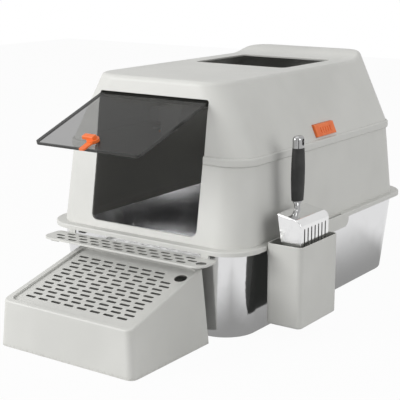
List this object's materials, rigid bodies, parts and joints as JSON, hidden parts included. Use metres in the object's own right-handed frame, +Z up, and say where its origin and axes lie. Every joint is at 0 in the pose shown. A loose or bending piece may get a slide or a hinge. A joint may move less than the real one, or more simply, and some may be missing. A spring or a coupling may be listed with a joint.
{
  "type": "covered litter box",
  "caption": "Steel litter pan under a plastic wall and lid with a tinted flap, roof hole, slotted landing, sloped step, and a scoop in a bin hung on the side.",
  "frame": {"origin": "on the floor under the middle of the pan's bottom", "axes": "+Z up, front towards -Y, +X towards the side that carries the scoop"},
  "size_m": [0.4694, 0.792, 0.4165],
  "materials": {
    "steel": "polished",
    "grey_plastic": "fine moulded texture",
    "smoke_plastic": "clear, smoke tinted",
    "orange_plastic": "satin",
    "chrome": "polished",
    "black_grip": "satin",
    "spring_steel": "bright",
    "inner_plastic": "plain moulded"
  },
  "bodies": {
    "pan": {"steel_pan": "steel"},
    "wall": {"lower_wall": "grey_plastic"},
    "lid": {"lid": "grey_plastic", "door_hinge_pin_left": "spring_steel", "door_hinge_pin_right": "spring_steel", "button_housing_left": "inner_plastic", "button_housing_right": "inner_plastic", "button_spring_left": "spring_steel", "button_spring_right": "spring_steel"},
    "door": {"front_door": "smoke_plastic"},
    "latch": {"door_latch": "orange_plastic", "latch_screw": "spring_steel"},
    "button_left": {"release_button_left": "orange_plastic"},
    "button_right": {"release_button_right": "orange_plastic"},
    "landing": {"landing_grate": "grey_plastic"},
    "step": {"step_base": "grey_plastic"},
    "grate": {"step_grate": "grey_plastic"},
    "holder": {"scoop_holder": "grey_plastic"},
    "scoop": {"scoop_head": "chrome", "scoop_tang": "chrome", "scoop_grip": "black_grip", "scoop_end_cap": "chrome"}
  },
  "joints": [
    {"name": "wall_lift", "type": "slide", "parent": "pan", "child": "wall", "axis": [0, 0, 1], "range_m": [0, 0.2]},
    {"name": "lid_lift", "type": "slide", "parent": "wall", "child": "lid", "axis": [0, 0, 1], "range_m": [0, 0.16]},
    {"name": "door_swing", "type": "hinge", "parent": "lid", "child": "door", "pos_m": [0, -0.24648, 0.368], "axis": [1, 0, 0], "range_deg": [-14, 63]},
    {"name": "latch_turn", "type": "hinge", "parent": "door", "child": "latch", "pos_m": [0, -0.39744, 0.32098], "axis": [0, -0.3328, 0.943], "range_deg": [-90, 90]},
    {"name": "button_left_press", "type": "slide", "parent": "lid", "child": "button_left", "axis": [1, 0, 0], "range_m": [0, 0.004], "stiffness_N_per_m": 600, "deforming": ["button_spring_left"]},
    {"name": "button_right_press", "type": "slide", "parent": "lid", "child": "button_right", "axis": [-1, 0, 0], "range_m": [0, 0.004], "stiffness_N_per_m": 600, "deforming": ["button_spring_right"]},
    {"name": "landing_lift", "type": "slide", "parent": "wall", "child": "landing", "axis": [0, 0, 1], "range_m": [0, 0.1]},
    {"name": "step_pull", "type": "slide", "parent": "pan", "child": "step", "axis": [0, -1, 0], "range_m": [0, 0.25]},
    {"name": "grate_lift", "type": "slide", "parent": "step", "child": "grate", "axis": [0, -0.2535, 0.9673], "range_m": [0, 0.012]},
    {"name": "holder_lift", "type": "slide", "parent": "wall", "child": "holder", "axis": [0, 0, 1], "range_m": [0, 0.1]},
    {"name": "scoop_lift", "type": "slide", "parent": "holder", "child": "scoop", "axis": [0, 0, 1], "range_m": [0, 0.16]}
  ]
}
